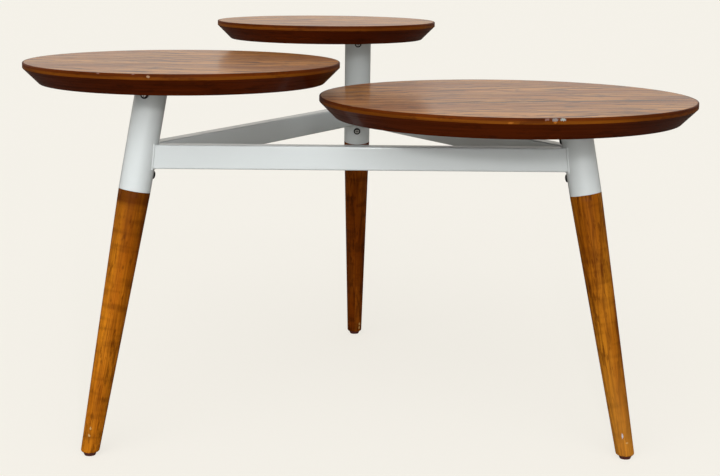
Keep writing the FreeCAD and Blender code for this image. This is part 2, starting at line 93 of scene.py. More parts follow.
# %% Camera
LENS = 70.43                                  # mm, on a 36 mm wide sensor
LENS_SHIFT = (0.0083, 0.0012)                 # to the side and up, as shares of the picture's width
CAMERA_PLACE = Vector((-0.0199, -1.8318, 0.6029))
TURN, TILT, ROLL = -0.0095, -0.2021, 0.0098   # radians


def make_camera():
    level = math.cos(TILT)
    ahead = Vector((-math.sin(TURN) * level, math.cos(TURN) * level, math.sin(TILT)))
    right = Vector((math.cos(TURN), math.sin(TURN), 0))
    upward = right.cross(ahead)
    rolled_right = math.cos(ROLL) * right + math.sin(ROLL) * upward
    rolled_up = -math.sin(ROLL) * right + math.cos(ROLL) * upward
    data = bpy.data.cameras.new("camera")
    data.lens = LENS
    data.shift_x, data.shift_y = LENS_SHIFT
    camera = bpy.data.objects.new("camera", data)
    camera.matrix_world = Matrix((rolled_right, rolled_up, -ahead)).transposed().to_4x4()
    camera.matrix_world.translation = CAMERA_PLACE
    bpy.context.scene.collection.objects.link(camera)
    bpy.context.scene.camera = camera
    return camera


camera = make_camera()
print("camera", [round(v, 3) for v in camera.location])

# %% [markdown]
# ## Helpers for node trees
# Light, floor, wood and metal are all described by small trees of nodes. Each
# of these helpers adds one node, feeds it from other nodes or with plain
# values, and hands back what carries its result. That keeps the trees below
# short enough to read.

# %% Helpers for node trees
def feed(tree, sockets, sources):
    """Join a node's first sockets to other nodes' results, or give them plain values."""
    for socket, source in zip(sockets, sources):
        if isinstance(source, bpy.types.NodeSocket):
            tree.links.new(source, socket)
        else:
            socket.default_value = source


def arithmetic(tree, operation, *sources):
    node = tree.nodes.new("ShaderNodeMath")
    node.operation = operation
    feed(tree, node.inputs, sources)
    return node.outputs[0]


def vector_maths(tree, operation, *sources, result="Vector"):
    node = tree.nodes.new("ShaderNodeVectorMath")
    node.operation = operation
    feed(tree, node.inputs, sources)
    return node.outputs[result]


def remap(tree, value, low, high, to_low=0.0, to_high=1.0, interpolation="SMOOTHSTEP"):
    """Carry a value from one range to another; outside the first range it stays at the ends."""
    node = tree.nodes.new("ShaderNodeMapRange")
    node.interpolation_type = interpolation
    numbers = {"From Min": low, "From Max": high, "To Min": to_low, "To Max": to_high}
    for title, number in numbers.items():
        node.inputs[title].default_value = number
    tree.links.new(value, node.inputs["Value"])
    return node.outputs["Result"]


def blend_colours(tree, share, first, second):
    """The first colour where the share is 0, the second where it is 1."""
    node = tree.nodes.new("ShaderNodeMix")
    node.data_type = "RGBA"
    feed(tree, [socket for socket in node.inputs if socket.enabled], (share, first, second))
    return next(socket for socket in node.outputs if socket.enabled)


def blend_shaders(tree, share, first, second):
    """The first shader where the share is 0, the second where it is 1."""
    node = tree.nodes.new("ShaderNodeMixShader")
    feed(tree, node.inputs, (share, first, second))
    return node.outputs[0]


def coloured_shader(tree, kind, colour):
    node = tree.nodes.new("ShaderNode" + kind)
    node.inputs["Color"].default_value = (*colour, 1)
    return node


print("node helpers ready")

# %% [markdown]
# ## Lamp and surround
# One fairly small lamp stands in front, a little above the tops, so every top
# throws a soft edged shadow on its own tube and on the rail. The rest is an
# even pale surround, which gives the lacquer something bright to mirror. As
# light it isn't even: it comes mostly from the front, and a little from the
# back, so that the legs keep a darker side.

# %% Lamp and surround
LAMP_PLACE = Vector((0.065, -1.606, 0.77))
LAMP_AIM = Vector((0, 0, 0.4))
LAMP_SIZE = 0.09
LAMP_POWER = 4.2                              # watts
SURROUND = (0.905, 0.871, 0.799)              # pale cream, as the eye sees it
FILL_COLOUR = (0.95, 0.98, 1.0)
FILL_FROM = (-0.16, -0.97, 0.18)              # where the soft light is strongest
FILL_EVEN, FILL_FRONT, FILL_BACK = 0.29, 4.1, 1.1
FILL_FOCUS = 4.0                              # higher gathers the soft light closer round its middle
FILL_SEAM = 0.02                              # half the width of the change from back to front


def make_lamp():
    data = bpy.data.lights.new("front_lamp", "AREA")
    data.shape = "DISK"
    data.size = LAMP_SIZE
    data.energy = LAMP_POWER
    lamp = bpy.data.objects.new("front_lamp", data)
    lamp.location = LAMP_PLACE
    lamp.rotation_euler = (LAMP_AIM - LAMP_PLACE).to_track_quat("-Z", "Y").to_euler()
    bpy.context.scene.collection.objects.link(lamp)
    return lamp


def make_surround():
    """Pale world: its own colour where the eye or a mirror meets it, softer and neutral as light."""
    world = bpy.data.worlds.new("surround")
    bpy.context.scene.world = world
    world.use_nodes = True
    tree = world.node_tree
    light = tree.nodes["Background"]
    light.inputs["Color"].default_value = (*FILL_COLOUR, 1)
    direction = tree.nodes.new("ShaderNodeTexCoord").outputs["Generated"]
    facing = vector_maths(tree, "DOT_PRODUCT", direction, FILL_FROM, result="Value")
    side = remap(tree, facing, -FILL_SEAM, FILL_SEAM, FILL_BACK, FILL_FRONT, interpolation="LINEAR")
    lobe = arithmetic(tree, "POWER", facing, FILL_FOCUS)
    tree.links.new(arithmetic(tree, "MULTIPLY_ADD", side, lobe, FILL_EVEN), light.inputs["Strength"])
    shown = coloured_shader(tree, "Background", SURROUND)
    path = tree.nodes.new("ShaderNodeLightPath")
    seen = arithmetic(tree, "MAXIMUM", path.outputs["Is Camera Ray"], path.outputs["Is Glossy Ray"])
    surface = blend_shaders(tree, seen, light.outputs[0], shown.outputs[0])
    tree.links.new(surface, tree.nodes["World Output"].inputs["Surface"])
    return world


lamp, world = make_lamp(), make_surround()
bpy.context.scene.view_settings.view_transform = "Standard"
print("light from", lamp.name, "and", world.name)

# %% [markdown]
# ## Floor
# The floor is a wide plain sheet. To the eye it is partly its own even colour
# and partly real light, and the real light carries the soft shadow under the
# table. The lamp would leave a brighter pool in front, so the sheet's own
# colour gets weaker near the lamp by the same amount, and the floor stays
# even. To every other ray it is an ordinary matt floor.

# %% Floor
FLOOR_REACH = 30.0
FLOOR_COLOUR = (0.27, 0.24, 0.20)             # of the matt floor that the other rays meet
SHADOW_SHARE = 0.3                            # part of the floor that is real light
FLOOR_FILL = 0.67                             # light on the floor from the surround
FLOOR_POOL = 0.20                             # light from the lamp at one metre
POOL_FADE = -3.0                              # it falls with the distance squared, and with its slant


def even_strength(tree):
    """Strength of the floor's own colour that leaves the lit floor even."""
    position = tree.nodes.new("ShaderNodeNewGeometry").outputs["Position"]
    distance = vector_maths(tree, "DISTANCE", position, LAMP_PLACE, result="Value")
    pool = arithmetic(tree, "POWER", distance, POOL_FADE)
    own_share = 1 - SHADOW_SHARE
    taken = -SHADOW_SHARE * FLOOR_POOL / own_share
    return arithmetic(tree, "MULTIPLY_ADD", pool, taken, (1 - SHADOW_SHARE * FLOOR_FILL) / own_share)


def make_floor():
    mesh = bpy.data.meshes.new("floor")
    corners = [(-1, -1), (1, -1), (1, 1), (-1, 1)]
    mesh.from_pydata([(x * FLOOR_REACH, y * FLOOR_REACH, 0) for x, y in corners], [], [(0, 1, 2, 3)])
    floor = bpy.data.objects.new("floor", mesh)
    bpy.context.scene.collection.objects.link(floor)
    material = bpy.data.materials.new("pale_floor")
    material.use_nodes = True
    tree = material.node_tree
    tree.nodes.clear()
    matt = coloured_shader(tree, "BsdfDiffuse", FLOOR_COLOUR)
    lit = coloured_shader(tree, "BsdfDiffuse", SURROUND)
    glow = coloured_shader(tree, "Emission", SURROUND)
    tree.links.new(even_strength(tree), glow.inputs["Strength"])
    shown = blend_shaders(tree, SHADOW_SHARE, glow.outputs[0], lit.outputs[0])
    seen = tree.nodes.new("ShaderNodeLightPath").outputs["Is Camera Ray"]
    output = tree.nodes.new("ShaderNodeOutputMaterial")
    tree.links.new(blend_shaders(tree, seen, matt.outputs[0], shown), output.inputs["Surface"])
    mesh.materials.append(material)
    return floor


floor = make_floor()
print("floor laid,", round(floor.dimensions.x), "metres wide")

# %% [markdown]
# ## Noise and node groups
# Nearly all fine detail here starts as noise that is drawn out in one
# direction: far for a fibre, less for a fleck, not at all for a paint skin.
# An effect that several materials share becomes a node group with named
# sockets, built once and placed in each of them.

# %% Noise and node groups
SEED_TURN = Vector((1.0, 1.7, 0.6))           # spreads one seed number over three directions


def stretched_noise(tree, vector, along, across, detail=4.0, roughness=0.55, seed=0.0):
    """Noise drawn out along x: along and across are features per metre."""
    mapping = tree.nodes.new("ShaderNodeMapping")
    mapping.inputs["Scale"].default_value = (along, across, across)
    mapping.inputs["Location"].default_value = seed * SEED_TURN
    noise = tree.nodes.new("ShaderNodeTexNoise")
    noise.inputs["Scale"].default_value = 1.0
    noise.inputs["Detail"].default_value = detail
    noise.inputs["Roughness"].default_value = roughness
    tree.links.new(vector, mapping.inputs["Vector"])
    tree.links.new(mapping.outputs["Vector"], noise.inputs["Vector"])
    return noise.outputs["Fac"]


def new_group(name, inputs, outputs):
    """Node group with named sockets, its input node and its output node."""
    group = bpy.data.node_groups.new(name, "ShaderNodeTree")
    for title, kind, default in inputs:
        socket = group.interface.new_socket(title, in_out="INPUT", socket_type="NodeSocket" + kind)
        if default is not None:
            socket.default_value = default
    for title, kind in outputs:
        group.interface.new_socket(title, in_out="OUTPUT", socket_type="NodeSocket" + kind)
    return group, group.nodes.new("NodeGroupInput"), group.nodes.new("NodeGroupOutput")


print("noise and groups ready")

# %% [markdown]
# ## Wood grain as a node group
# Wood is the same effect on the tops and on the legs, only with other colours
# and another scale, so it is one node group. It reads flat coordinates in
# metres: x along the grain and y across it. Veneer is laid in leaves, and in
# each leaf the growth rings make long pointed arches. We get them from a
# simple rule: the square of the distance from the middle of the leaf, plus a
# slow climb along the grain, plus some noise, cut into whole steps. On top
# come short dark flecks, fine fibres and the pores. The group hands out a
# colour, a roughness and a height, and never a shader.

# %% Wood grain group
LEAF_HALF = 0.07                              # half the width of a veneer leaf, metres
RINGS_ACROSS = 650.0                          # rings per square metre off the middle
RINGS_ALONG = 6.0                             # rings per metre along the grain
RING_BEND = 0.05                              # how far noise pushes the leaf's middle, metres
RING_WANDER = 3.0                             # how far noise moves a ring, in rings
LATE_WOOD = (0.42, 0.92)                      # where in a ring its dark part sets in, and is darkest
RING_END = (0.93, 1.0)                        # and where it ends
FIBRE_SHARE = 0.42                            # how dark the fibres and the pores can get
PORE_SHARE = 0.40


def growth_rings(group, place):
    """Dark late wood: 0 to 1, with a soft start and a sharp end in each ring."""
    parts = group.nodes.new("ShaderNodeSeparateXYZ")
    group.links.new(place, parts.inputs["Vector"])
    bend = stretched_noise(group, place, along=3.0, across=9.0, detail=2.0, seed=3.1)
    pushed = arithmetic(group, "MULTIPLY_ADD", bend, RING_BEND, parts.outputs["Y"])
    leaf = arithmetic(group, "PINGPONG", pushed, LEAF_HALF)
    across = arithmetic(group, "MULTIPLY", arithmetic(group, "POWER", leaf, 2.0), RINGS_ACROSS)
    along = arithmetic(group, "MULTIPLY", parts.outputs["X"], RINGS_ALONG)
    stray = stretched_noise(group, place, along=5.0, across=22.0, detail=3.0, seed=5.2)
    wander = arithmetic(group, "MULTIPLY", stray, RING_WANDER)
    count = arithmetic(group, "ADD", arithmetic(group, "ADD", across, along), wander)
    step = arithmetic(group, "FRACT", count)
    onset = remap(group, step, *LATE_WOOD)
    return arithmetic(group, "MULTIPLY", onset, remap(group, step, *RING_END, 1.0, 0.0))


def make_grain_group():
    group, given, result = new_group(
        "wood_grain",
        [("Vector", "Vector", None), ("Light", "Color", (0.5, 0.25, 0.1, 1)),
         ("Body", "Color", (0.3, 0.12, 0.04, 1)), ("Dark", "Color", (0.08, 0.03, 0.01, 1)),
         ("Rings", "Float", 0.4), ("Flecks", "Float", 0.5), ("Blotches", "Float", 0.0)],
        [("Color", "Color"), ("Roughness", "Float"), ("Height", "Float")])
    place = given.outputs["Vector"]
    cloud = stretched_noise(group, place, along=5.0, across=16.0, detail=3.0, seed=9.4)
    fibres = stretched_noise(group, place, along=9.0, across=380.0, detail=5.0, roughness=0.6, seed=7.7)
    flecks = stretched_noise(group, place, along=36.0, across=100.0, detail=5.0, roughness=0.62, seed=12.4)
    pores = stretched_noise(group, place, along=150.0, across=2200.0, detail=2.0, seed=21.3)
    blotches = stretched_noise(group, place, along=55.0, across=9.0, detail=2.0, seed=31.8)
    layers = [
        (growth_rings(group, place), given.outputs["Rings"]),
        (remap(group, fibres, 0.42, 0.66), FIBRE_SHARE),
        (remap(group, flecks, 0.53, 0.65), given.outputs["Flecks"]),
        (remap(group, blotches, 0.45, 0.70), given.outputs["Blotches"]),
        (remap(group, pores, 0.60, 0.72), PORE_SHARE),
    ]
    lighter = remap(group, cloud, 0.36, 0.64)
    tone = blend_colours(group, lighter, given.outputs["Body"], given.outputs["Light"])
    for mask, share in layers:
        tone = blend_colours(group, arithmetic(group, "MULTIPLY", mask, share), tone, given.outputs["Dark"])
    group.links.new(tone, result.inputs["Color"])
    group.links.new(remap(group, fibres, 0.3, 0.8), result.inputs["Roughness"])
    height = arithmetic(group, "SUBTRACT", remap(group, fibres, 0.2, 0.8), remap(group, pores, 0.6, 0.75))
    group.links.new(height, result.inputs["Height"])
    return group


GRAIN = make_grain_group()
print("grain group has", len(GRAIN.nodes), "nodes")

# %% [markdown]
# ## Small marks as a node group
# A table that has been used has a few chips where something knocked it, and
# wood has a dark streak here and there. Each such mark is a small oval at a
# place we choose, with an edge broken up by noise. The group only hands out
# the mask, so the same group can chip the edge of a top, scrape the foot of a
# leg and lay a streak in a face.

# %% Chip group
CHIP_BUMPS = 900.0                            # bumps per metre round a chip
CHIP_RAGGED = 1.6                             # how far the bumps move its edge, in half sizes
CHIP_EDGE = (1.45, 1.6)                       # where its mask fades out, bumps included


def make_chip_group():
    group, given, result = new_group(
        "small_chip",
        [("Vector", "Vector", None), ("Place", "Vector", (0, 0, 0)), ("Stretch", "Vector", (1, 1, 1)),
         ("Reach", "Float", 0.004)],
        [("Mask", "Float")])
    offset = vector_maths(group, "SUBTRACT", given.outputs["Vector"], given.outputs["Place"])
    shaped = vector_maths(group, "MULTIPLY", offset, given.outputs["Stretch"])
    distance = vector_maths(group, "LENGTH", shaped, result="Value")
    ratio = arithmetic(group, "DIVIDE", distance, given.outputs["Reach"])
    bumps = stretched_noise(group, given.outputs["Vector"], CHIP_BUMPS, CHIP_BUMPS, detail=3.0, seed=2.2)
    spread = arithmetic(group, "ADD", ratio, arithmetic(group, "MULTIPLY", bumps, CHIP_RAGGED))
    group.links.new(remap(group, spread, *CHIP_EDGE, 1.0, 0.0), result.inputs["Mask"])
    return group


CHIP = make_chip_group()
print("chip group has", len(CHIP.nodes), "nodes")

# %% [markdown]
# ## Wear on the tops
# Every top reads another part of the same endless grain, so each one has its
# own shift. A chip on the edge strip is placed by its turn round the top and
# its height on the strip. Where the lacquer is only bruised a chip looks pale,
# grey or rosy, and where it is off we see raw or beige wood. Two long, thin
# and dark streaks lie in the face of the lowest top.

# %% Marks on the tops
BEVEL = 0.0185                                # a top's bevel, measured level
TOP_SHIFT = (3.1, 1.37)                       # metres of grain from one top to the next
PALE, GREY, ROSY = (0.29, 0.30, 0.27, 1), (0.21, 0.175, 0.16, 1), (0.19, 0.095, 0.075, 1)
BEIGE, RAW, STREAK = (0.31, 0.18, 0.10, 1), (0.32, 0.10, 0.012, 1), (0.060, 0.015, 0.003, 1)


def top_shift(station):
    """Where a top reads the grain, along and across it."""
    order = STATIONS.index(station)
    return TOP_SHIFT[0] * order + 1, TOP_SHIFT[1] * order + 1


def edge_chip(station, turn, rise, across, up, colour):
    """A chip on a top's edge: degrees round from the front, height on the strip, and its half sizes."""
    low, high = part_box("top_" + station)
    radius = (high.y - low.y) / 2
    way_up = radius - BEVEL + BEVEL * math.sqrt(2) + rise
    along_start, across_start = top_shift(station)
    place = (math.radians(180 + turn) * radius + along_start, way_up + across_start, 0)
    return place, (up / across, 1, 1), up, colour


def face_streak(station, along, across, slimness, half_width):
    """A dark streak in a face, placed from the middle of the top, along the grain and across it."""
    along_start, across_start = top_shift(station)
    return (along + along_start, across + across_start, 0), (slimness, 1, 1), half_width, STREAK


EDGE_CHIPS = [
    edge_chip("low", 4.3, 0.0050, 0.0038, 0.0017, ROSY),
    edge_chip("low", 6.4, 0.0047, 0.0042, 0.0022, GREY),
    edge_chip("low", 8.7, 0.0050, 0.0044, 0.0021, PALE),
    edge_chip("low", 6.5, 0.0018, 0.0022, 0.0013, RAW),
    edge_chip("low", -5.4, 0.0010, 0.0044, 0.0010, RAW),
    edge_chip("mid", -5.0, 0.0036, 0.0026, 0.0018, BEIGE),
    edge_chip("mid", -22.5, 0.0056, 0.0028, 0.0009, ROSY),
    edge_chip("mid", -10.2, 0.0058, 0.0024, 0.0009, ROSY),
]
FACE_STREAKS = [
    face_streak("low", 0.0525, -0.065, 0.024, 0.0055),
    face_streak("low", 0.16, -0.073, 0.040, 0.0034),
]
print("chips on the edges", len(EDGE_CHIPS), "and streaks in the faces", len(FACE_STREAKS))

# %% [markdown]
# ## Lacquered wood
# The wood carries a clear, satin lacquer. Seen along the face the lacquer
# mirrors the bright surround, which is why a brown top looks beige from a low
# eye. A coat layer over a matt wood does this well. Its refraction is set low,
# so it mirrors much at a glancing look and next to nothing straight on, and
# the brown stays deep there. A fade changes the colour slowly along the grain;
# on the right leg it is partly a painted highlight. The marks lie over everything.

# %% Lacquered wood
COAT_IOR = 1.22
WOOD_ROUGHNESS = (0.42, 0.56)                 # under the coat, between fibres and on them
WOOD_BUMP, WOOD_RELIEF = 0.2, 0.0002          # strength of the relief, and its depth in metres


def add_fades(tree, grain_place, tone, fades):
    """Lay each fade over a colour: (where it starts, where it is full, its share, its own colour)."""
    for start, end, share, colouring in fades:
        parts = tree.nodes.new("ShaderNodeSeparateXYZ")
        tree.links.new(grain_place, parts.inputs["Vector"])
        mask = remap(tree, parts.outputs["X"], start, end, 0.0, share)
        tone = blend_colours(tree, mask, tone, colouring)
    return tone


def add_marks(tree, grain_place, tone, marks):
    """Lay each mark over a colour: (place, stretch, reach, its own colour)."""
    for place, stretch, reach, colour in marks:
        chip = tree.nodes.new("ShaderNodeGroup")
        chip.node_tree = CHIP
        feed(tree, chip.inputs, (grain_place, place, stretch, reach))
        tone = blend_colours(tree, chip.outputs["Mask"], tone, colour)
    return tone


def lacquered_wood(name, colouring, coat, coat_roughness, sheen=0.02, scale=(1, 1, 1), marks=(), fades=()):
    """Wood with its stain: the light, body and dark colours, and the shares of its figures."""
    colours, figures = colouring
    material = bpy.data.materials.new(name)
    material.use_nodes = True
    tree = material.node_tree
    coordinates = tree.nodes.new("ShaderNodeUVMap")
    coordinates.uv_map = "grain"
    grain_place = coordinates.outputs["UV"]
    mapping = tree.nodes.new("ShaderNodeMapping")
    mapping.inputs["Scale"].default_value = scale
    tree.links.new(grain_place, mapping.inputs["Vector"])
    grain = tree.nodes.new("ShaderNodeGroup")
    grain.node_tree = GRAIN
    tree.links.new(mapping.outputs["Vector"], grain.inputs["Vector"])
    for title, colour in zip(("Light", "Body", "Dark"), colours):
        grain.inputs[title].default_value = (*colour, 1)
    for title, share in zip(("Rings", "Flecks", "Blotches"), figures):
        grain.inputs[title].default_value = share
    tone = add_fades(tree, grain_place, grain.outputs["Color"], fades)
    tone = add_marks(tree, grain_place, tone, marks)
    bump = tree.nodes.new("ShaderNodeBump")
    bump.inputs["Strength"].default_value = WOOD_BUMP
    bump.inputs["Distance"].default_value = WOOD_RELIEF
    tree.links.new(grain.outputs["Height"], bump.inputs["Height"])
    shader = tree.nodes["Principled BSDF"]
    tree.links.new(tone, shader.inputs["Base Color"])
    roughness = remap(tree, grain.outputs["Roughness"], 0.0, 1.0, *WOOD_ROUGHNESS)
    tree.links.new(roughness, shader.inputs["Roughness"])
    tree.links.new(bump.outputs["Normal"], shader.inputs["Normal"])
    shader.inputs["Specular IOR Level"].default_value = sheen
    shader.inputs["Coat Weight"].default_value = coat
    shader.inputs["Coat Roughness"].default_value = coat_roughness
    shader.inputs["Coat IOR"].default_value = COAT_IOR
    return material


print("lacquer ready")

# %% [markdown]
# ## Stains of the tops, and a painted highlight
# Four colourings are used on a top: a warm face, a red-brown edge strip, a
# lighter line along the strip's lower arris, which is a painted highlight where
# that rounding catches the light, and a much darker bevel, which is also the
# stain of the underside.

# %% Top wood
TOP_STAINS = {                                # light, body and dark wood; rings, flecks and blotches
    "face": (((0.60, 0.232, 0.034), (0.385, 0.117, 0.010), (0.095, 0.023, 0.0025)), (0.80, 0.75, 0.0)),
    "edge": (((0.118, 0.0235, 0.002), (0.080, 0.0145, 0.0012), (0.03, 0.005, 0.0005)), (0.20, 0.40, 0.0)),
    # the arris row is a painted highlight, lighter than the edge strip
    "arris_highlight": (((0.175, 0.048, 0.003), (0.118, 0.028, 0.002), (0.05, 0.009, 0.001)), (0.20, 0.50, 0.0)),
    "bevel": (((0.086, 0.0125, 0.0006), (0.058, 0.0078, 0.0004), (0.02, 0.003, 0.0002)), (0.15, 0.45, 0.0)),
}
FACE_WOOD = lacquered_wood("top_face", TOP_STAINS["face"], 0.33, 0.13, sheen=0.08, marks=FACE_STREAKS)
EDGE_WOOD = lacquered_wood("top_edge", TOP_STAINS["edge"], 0.06, 0.25, marks=EDGE_CHIPS)
# a painted highlight along the lower arris, with the edge chips over it
ARRIS_HIGHLIGHT_WOOD = lacquered_wood("top_arris_highlight", TOP_STAINS["arris_highlight"], 0.06, 0.25, marks=EDGE_CHIPS)
BEVEL_WOOD = lacquered_wood("top_bevel", TOP_STAINS["bevel"], 0.15, 0.08)
print("top stains", len(TOP_STAINS))

# %% [markdown]
# ## Stains, fades and wear of the legs
# No two legs took the stain alike: the rear one is dark, and the left one has
# the strongest figure. The left leg is darker towards the tube, with a last
# dark ring right under it. The right one is paler at its foot, partly lighter
# wood and partly a painted highlight. A few scrapes near the feet come from
# shoes and brooms.

# %% Leg wood
TUBE_RADIUS = 0.019                           # the leg has it too, just below the tube
LEG_SHIFT = (2.3, 0.61)                       # metres of grain from one leg to the next
LEG_SCALE = (1.3, 1.8, 1)                     # the figure is finer than on a top
LEG_COAT, LEG_COAT_ROUGHNESS = 0.07, 0.26
WHITE, SANDY = (0.44, 0.43, 0.45, 1), (0.48, 0.27, 0.095, 1)


def leg_shift(station):
    """Where a leg reads the grain, along and across it."""
    order = STATIONS.index(station)
    return LEG_SHIFT[0] * order, LEG_SHIFT[1] * order


def leg_scrape(station, height, turn, along, across, colour):
    """A scrape on a leg: height up the leg, degrees round it from the inward side, and its half sizes."""
    along_start, across_start = leg_shift(station)
    place = (height + along_start, TUBE_RADIUS * math.radians(turn) + across_start, 0)
    return place, (across / along, 1, 1), across, colour


def leg_fade(station, start, end, share, colouring):
    """A fade on a leg: the heights where it starts and where it is full, its share and its colour."""
    along_start = leg_shift(station)[0]
    return along_start + start, along_start + end, share, colouring


LEG_STAINS = {                                # light, body and dark wood; rings, flecks and blotches
    "low": (((0.46, 0.158, 0.009), (0.29, 0.080, 0.003), (0.066, 0.012, 0.0006)), (0.45, 0.60, 0.40)),
    "mid": (((0.56, 0.180, 0.008), (0.35, 0.089, 0.003), (0.052, 0.009, 0.0005)), (0.22, 0.55, 0.42)),
    "high": (((0.25, 0.060, 0.004), (0.145, 0.028, 0.001), (0.030, 0.005, 0.0005)), (0.45, 0.50, 0.45)),
}
LEG_SCRAPES = {
    "low": [leg_scrape("low", 0.0265, 112, 0.0042, 0.0021, WHITE),
            leg_scrape("low", 0.0165, 134, 0.0013, 0.0034, SANDY)],
    "mid": [leg_scrape("mid", 0.0305, 228, 0.0026, 0.0024, SANDY),
            leg_scrape("mid", 0.0215, 226, 0.0026, 0.0028, SANDY)],
    "high": [leg_scrape("high", 0.0155, 44, 0.0032, 0.0034, SANDY),
             leg_scrape("high", 0.0090, 42, 0.0032, 0.0038, SANDY)],
}
LEG_FADES = {
    # the right leg: paler towards the foot, partly lighter wood and partly a painted highlight
    "low": [leg_fade("low", 0.16, 0.02, 0.24, (0.80, 0.34, 0.050, 1))],
    # the left leg: darker towards the tube, then a last dark ring right under it
    "mid": [leg_fade("mid", 0.20, 0.34, 0.60, (0.13, 0.034, 0.002, 1)),
            leg_fade("mid", 0.303, 0.310, 0.62, (0.055, 0.008, 0.0005, 1))],
    "high": [],
}
LEG_WOOD = {
    station: lacquered_wood(
        "leg_stain_" + station, LEG_STAINS[station], LEG_COAT, LEG_COAT_ROUGHNESS, scale=LEG_SCALE,
        marks=LEG_SCRAPES[station], fades=LEG_FADES[station])
    for station in STATIONS}
print("leg stains", len(LEG_WOOD))

# %% [markdown]
# ## Frame paint and small fittings
# The frame is steel under a pale grey semi-gloss coat. Sprayed paint is never
# quite flat: a fine orange peel breaks up the reflections. The hidden
# fittings are zinc plated steel and brass, and the glides are dark plastic.

# %% Metal and plastic materials
CLOUDS = 30.0                                 # clouds per metre in an even finish
GLOSS_CHANGE = 0.05                           # how much rougher or smoother a cloud can be
PEEL_BUMPS, PEEL_DEPTH = 900.0, 0.0001        # orange peel: bumps per metre, and depth in metres
PAINT_COAT_ROUGHNESS = 0.12


def plain_material(name, colour, roughness, metallic=0.0, peel=0.0, spread=0.06, coat=0.0):
    """Even finish with a slight cloud in its colour and gloss, and a fine skin texture if peel is given."""
    material = bpy.data.materials.new(name)
    material.use_nodes = True
    tree = material.node_tree
    shader = tree.nodes["Principled BSDF"]
    shader.inputs["Metallic"].default_value = metallic
    shader.inputs["Coat Weight"].default_value = coat
    shader.inputs["Coat Roughness"].default_value = PAINT_COAT_ROUGHNESS
    place = tree.nodes.new("ShaderNodeTexCoord").outputs["Object"]
    cloud = stretched_noise(tree, place, CLOUDS, CLOUDS, detail=3.0)
    lighter = tuple(min(1.0, channel * (1 + spread)) for channel in colour)
    darker = tuple(channel * (1 - spread) for channel in colour)
    tree.links.new(blend_colours(tree, cloud, (*darker, 1), (*lighter, 1)), shader.inputs["Base Color"])
    gloss = remap(tree, cloud, 0.3, 0.7, roughness - GLOSS_CHANGE, roughness + GLOSS_CHANGE)
    tree.links.new(gloss, shader.inputs["Roughness"])
    if peel:
        bump = tree.nodes.new("ShaderNodeBump")
        bump.inputs["Strength"].default_value = peel
        bump.inputs["Distance"].default_value = PEEL_DEPTH
        skin = stretched_noise(tree, place, PEEL_BUMPS, PEEL_BUMPS, detail=2.0)
        tree.links.new(skin, bump.inputs["Height"])
        tree.links.new(bump.outputs["Normal"], shader.inputs["Normal"])
    return material


FRAME_PAINT = plain_material("frame_paint", (0.63, 0.655, 0.645), 0.36, peel=0.15, spread=0.02, coat=0.5)
ZINC = plain_material("zinc_steel", (0.62, 0.62, 0.60), 0.38, metallic=1.0, peel=0.1, spread=0.1)
BRASS = plain_material("insert_brass", (0.72, 0.55, 0.28), 0.32, metallic=1.0, spread=0.08)
GLIDE_PLASTIC = plain_material("glide_plastic", (0.075, 0.016, 0.012), 0.45, peel=0.2, spread=0.2)
print("metal and plastic ready")

# %% [markdown]
# ## Screws with a bright middle
# The screws that show are blackened, with bright metal round the middle of the
# head's top. That bright part has to sit round each screw's own axis, so every
# screw gets its own material, and we ask the solid where that axis is.

# %% Screw steel
BLACK_STEEL = (0.030, 0.031, 0.033)
BRIGHT_STEEL = (0.85, 0.84, 0.82, 1)
BRIGHT_RADIUS = (0.0030, 0.0038)                # from the axis, where the bright metal fades out
BRIGHT_BUMPS, BRIGHT_RAGGED = 700.0, 0.0014       # bumps per metre, and how far they move that edge
BRIGHT_DEPTH = (0.0005, 0.0001)                 # under the head's top, where the bright metal starts and is full


def screw_axis(node):
    """A point on a screw's axis, the direction out of the tube, and how far out the head's top is."""
    matrix = AXES[node.rsplit("_", 1)[1]]
    back = matrix.inverted()
    points = [back @ vertex.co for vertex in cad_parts[node].data.vertices]
    heights = [point.z for point in points]
    outward = Vector((sum(point.x for point in points), sum(point.y for point in points), 0)).normalized()
    start = matrix @ Vector((0, 0, (min(heights) + max(heights)) / 2))
    return start, matrix.to_3x3() @ outward, max(point.dot(outward) for point in points)


def screw_steel(node):
    """Black steel with bright metal round the axis at the top of this one screw's head."""
    start, outward, crown = screw_axis(node)
    material = plain_material("screw_" + node, BLACK_STEEL, 0.35, metallic=0.75, peel=0.1, spread=0.2)
    tree = material.node_tree
    base_colour = tree.nodes["Principled BSDF"].inputs["Base Color"]
    black = base_colour.links[0].from_socket
    place = tree.nodes.new("ShaderNodeTexCoord").outputs["Object"]
    offset = vector_maths(tree, "SUBTRACT", place, start)
    across = vector_maths(tree, "CROSS_PRODUCT", offset, outward)
    radius = vector_maths(tree, "LENGTH", across, result="Value")
    height = vector_maths(tree, "DOT_PRODUCT", offset, outward, result="Value")
    raised = remap(tree, height, *(crown - depth for depth in BRIGHT_DEPTH))
    bumps = stretched_noise(tree, place, BRIGHT_BUMPS, BRIGHT_BUMPS, detail=2.0, seed=4.4)
    edge = arithmetic(tree, "ADD", radius, arithmetic(tree, "MULTIPLY", bumps, BRIGHT_RAGGED))
    bright_share = arithmetic(tree, "MULTIPLY", remap(tree, edge, *BRIGHT_RADIUS, 1.0, 0.0), raised)
    tree.links.new(blend_colours(tree, bright_share, black, BRIGHT_STEEL), base_colour)
    return material


print("screw steel ready")

# %% [markdown]
# ## Small tools for round pieces
# Every round piece starts as an outline, which is a list of points with a
# radius, a height and a zone. A rounding in it is a short arc. Where a strip
# of faces closes on the axis two of its corners fall together, and one has to
# go. The finished mesh takes its materials in the order of their zones.

